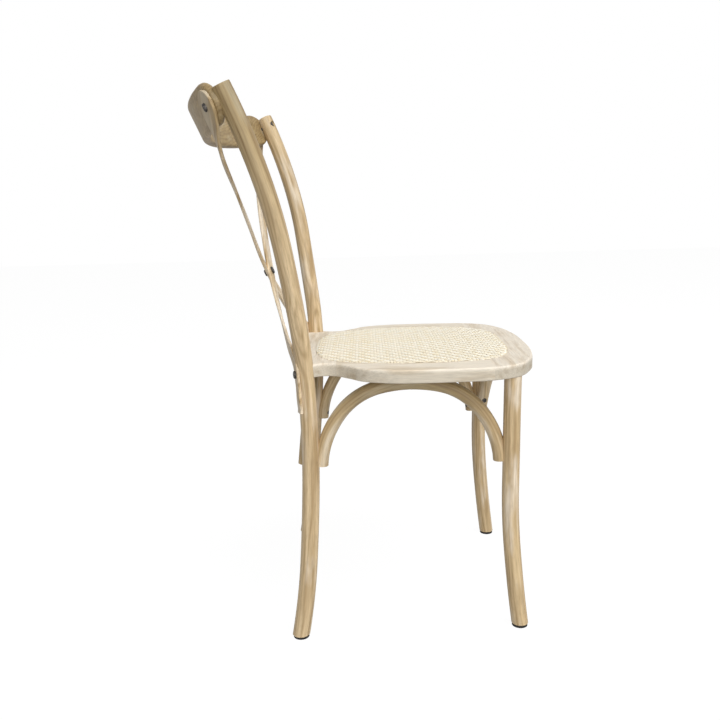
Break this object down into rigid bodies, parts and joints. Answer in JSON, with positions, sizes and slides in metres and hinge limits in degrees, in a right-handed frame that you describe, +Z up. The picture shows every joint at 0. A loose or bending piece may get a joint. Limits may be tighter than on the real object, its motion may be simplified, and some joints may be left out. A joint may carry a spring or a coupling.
{
  "type": "bentwood cross-back dining chair",
  "caption": "Bentwood dining chair with a bowed top rail, crossed back slats, bent under-seat arches and a woven cane seat in a shaped wooden frame.",
  "frame": {"origin": "on the floor under the middle of the chair's outer box", "axes": "+Z up, -Y to the front of the seat, +X to the left of a person who sits in the chair"},
  "size_m": [0.5167, 0.5712, 0.8906],
  "materials": {
    "post_wood": "limed natural oak, satin",
    "arch_wood": "limed natural oak, satin",
    "rail_wood": "limed natural oak, satin",
    "slat_wood": "limed natural oak, satin",
    "seat_wood": "pale limed oak, satin",
    "hidden_wood": "plain, unfinished",
    "rattan": "woven cane strips, satin",
    "dark_steel": "black oxide",
    "glide": "matte black"
  },
  "bodies": {
    "root": {"rear_post_left": "post_wood", "rear_post_right": "post_wood", "front_leg_left": "post_wood", "front_leg_right": "post_wood", "side_arch_left": "arch_wood", "side_arch_right": "arch_wood", "front_arch": "arch_wood", "rear_arch": "arch_wood", "top_rail": "rail_wood", "cross_slat_front": "slat_wood", "cross_slat_rear": "slat_wood", "seat_front_rail": "seat_wood", "seat_rear_rail": "seat_wood", "seat_side_rail_left": "seat_wood", "seat_side_rail_right": "seat_wood", "insert_frame": "hidden_wood", "rattan_panel": "rattan", "seat_dowels": "hidden_wood", "rail_bolts": "dark_steel", "rail_nuts": "dark_steel", "cross_bolt": "dark_steel", "cross_nut": "dark_steel", "seat_bolts": "dark_steel", "arch_end_screws": "dark_steel", "arch_top_screws": "dark_steel", "insert_screws": "dark_steel", "glides": "glide"}
  },
  "joints": []
}
